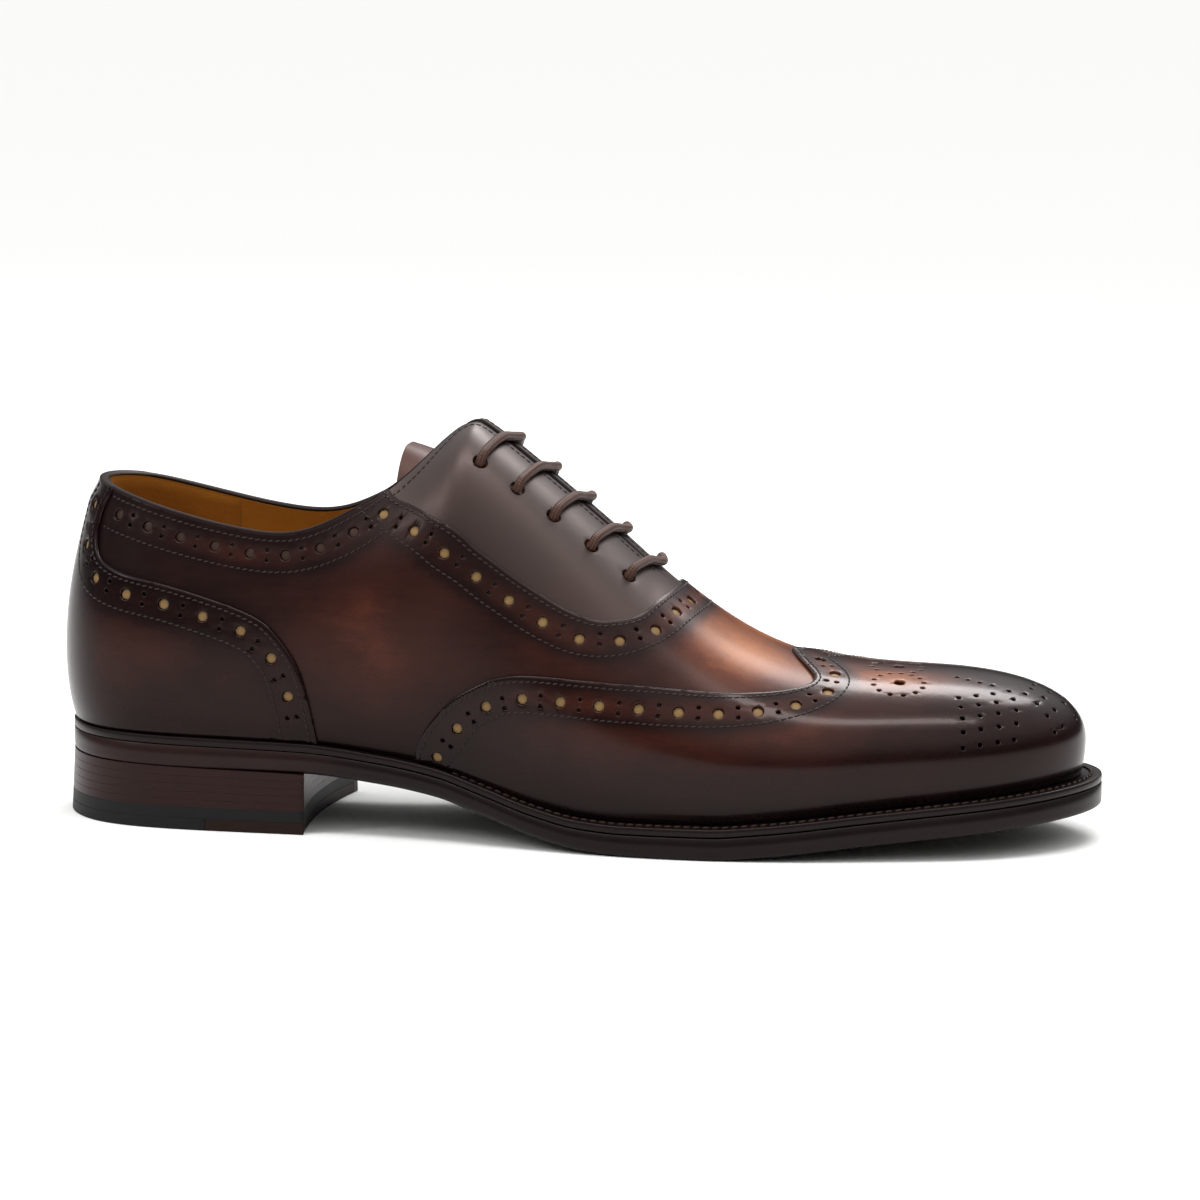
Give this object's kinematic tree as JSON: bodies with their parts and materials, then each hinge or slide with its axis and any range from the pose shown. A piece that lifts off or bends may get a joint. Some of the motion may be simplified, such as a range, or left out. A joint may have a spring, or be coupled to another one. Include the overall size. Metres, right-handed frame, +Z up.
{
  "type": "wingtip oxford shoe",
  "caption": "Closed-laced leather wingtip shoe: hollow upper with wing cap, heel counter and facings, tongue, lace bars, welt, leather sole and stacked heel",
  "frame": {"origin": "centre of the heel's resting face, on the floor", "axes": "+X runs to the toe, +Y to the inner side of the foot, +Z up"},
  "size_m": [0.303, 0.103, 0.1154],
  "materials": {
    "facing_leather": "smooth calf, waxed",
    "vamp_leather": "hand-coloured calf, burnished to a soft gloss",
    "counter_leather": "hand-coloured calf, burnished dark",
    "wing_leather": "hand-coloured calf, burnished to a gloss at the toe",
    "welt_leather": "waxed leather edge",
    "lining_leather": "undyed lining leather, matte",
    "outsole_leather": "waxed leather edge",
    "heel_stack": "stacked leather edge, waxed",
    "heel_rubber": "matte",
    "heel_leather": "leather edge, satin",
    "tongue_leather": "smooth calf, satin",
    "lace": "round waxed cotton"
  },
  "bodies": {
    "root": {"upper": "facing_leather", "quarters": "vamp_leather", "heel_counter": "counter_leather", "wing_cap": "wing_leather", "welt": "welt_leather", "insole": "lining_leather", "outsole": "outsole_leather", "heel_lift_upper": "heel_stack", "heel_lift_lower": "heel_stack", "top_piece_rubber": "heel_rubber", "top_piece_tip": "heel_rubber", "top_piece_leather": "heel_leather", "tongue": "tongue_leather", "lace_bar_1": "lace", "lace_bar_2": "lace", "lace_bar_3": "lace", "lace_bar_4": "lace", "lace_bar_5": "lace"}
  },
  "joints": []
}
